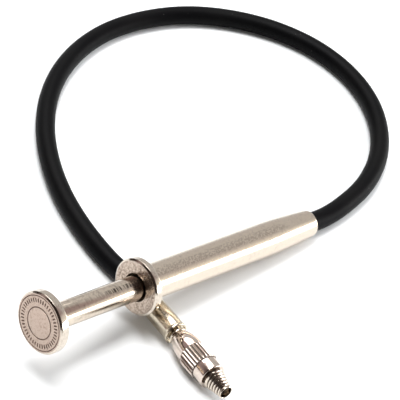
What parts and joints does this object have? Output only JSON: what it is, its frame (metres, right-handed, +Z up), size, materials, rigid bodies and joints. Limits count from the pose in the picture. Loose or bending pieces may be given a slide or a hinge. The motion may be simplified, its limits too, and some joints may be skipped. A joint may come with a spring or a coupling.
{
  "type": "cable shutter release",
  "caption": "Plunger cable release: a thumb button on a sprung rod pushes a wire through a covered cable to a pin in a swivelling conical screw nipple.",
  "frame": {"origin": "middle of the handle's footprint, on the surface that the release lies on; the free cable and its end fitting are left out of this box", "axes": "+Z up, +Y along the barrel from the thumb button to the cable, +X towards the nipple"},
  "size_m": [0.0792, 0.0981, 0.0147],
  "materials": {
    "button": "worn satin nickel plate",
    "rod": "bright nickel plate with fine draw marks",
    "flange": "worn satin nickel plate",
    "barrel": "bright nickel plate with light pitting",
    "ferrule": "bright nickel plate",
    "nut": "bright nickel plate",
    "nipple": "nickel plate, worn on the thread",
    "neck": "nickel plate, dull in the hollows",
    "inner_brass": "turned brass",
    "wire": "drawn spring steel wire",
    "conduit": "close-wound steel conduit",
    "spring": "oiled spring steel",
    "cover": "black plastic cover, satin"
  },
  "bodies": {
    "handle": {"finger_flange": "flange", "guide_bush": "inner_brass", "barrel_tube": "barrel", "return_spring": "spring", "spring_seat": "inner_brass", "guide_tube": "inner_brass", "conduit_anchor": "inner_brass", "cable_cover": "cover", "cable_conduit": "conduit", "core_wire": "wire", "tip_ferrule": "ferrule", "conduit_stop": "inner_brass", "swivel_stem": "neck", "swivel_ring": "neck"},
    "plunger": {"thumb_button": "button", "plunger_tube": "rod", "plunger_collar": "inner_brass", "wire_anchor": "inner_brass", "plunger_wire": "wire"},
    "swivel_nut": {"knurled_nut": "nut", "thread_nipple": "nipple"},
    "pin": {"release_pin": "wire", "pin_crimp": "inner_brass", "pin_wire": "wire"}
  },
  "joints": [
    {"name": "plunger_press", "type": "slide", "parent": "handle", "child": "plunger", "axis": [0, 0.9919, -0.1271], "range_m": [0, 0.012], "stiffness_N_per_m": 470, "springref_m": -0.003, "deforming": ["return_spring"]},
    {"name": "pin_slide", "type": "slide", "parent": "handle", "child": "pin", "axis": [0.988, -0.1512, 0.0314], "range_m": [0, 0.012]},
    {"name": "nut_swivel", "type": "hinge", "parent": "handle", "child": "swivel_nut", "pos_m": [0.0133, -0.00769, 0.00244], "axis": [0.988, -0.1512, 0.0314], "continuous": true}
  ],
  "couplings": [
    {"joint": "pin_slide", "follows": "plunger_press", "ratio": 1}
  ]
}
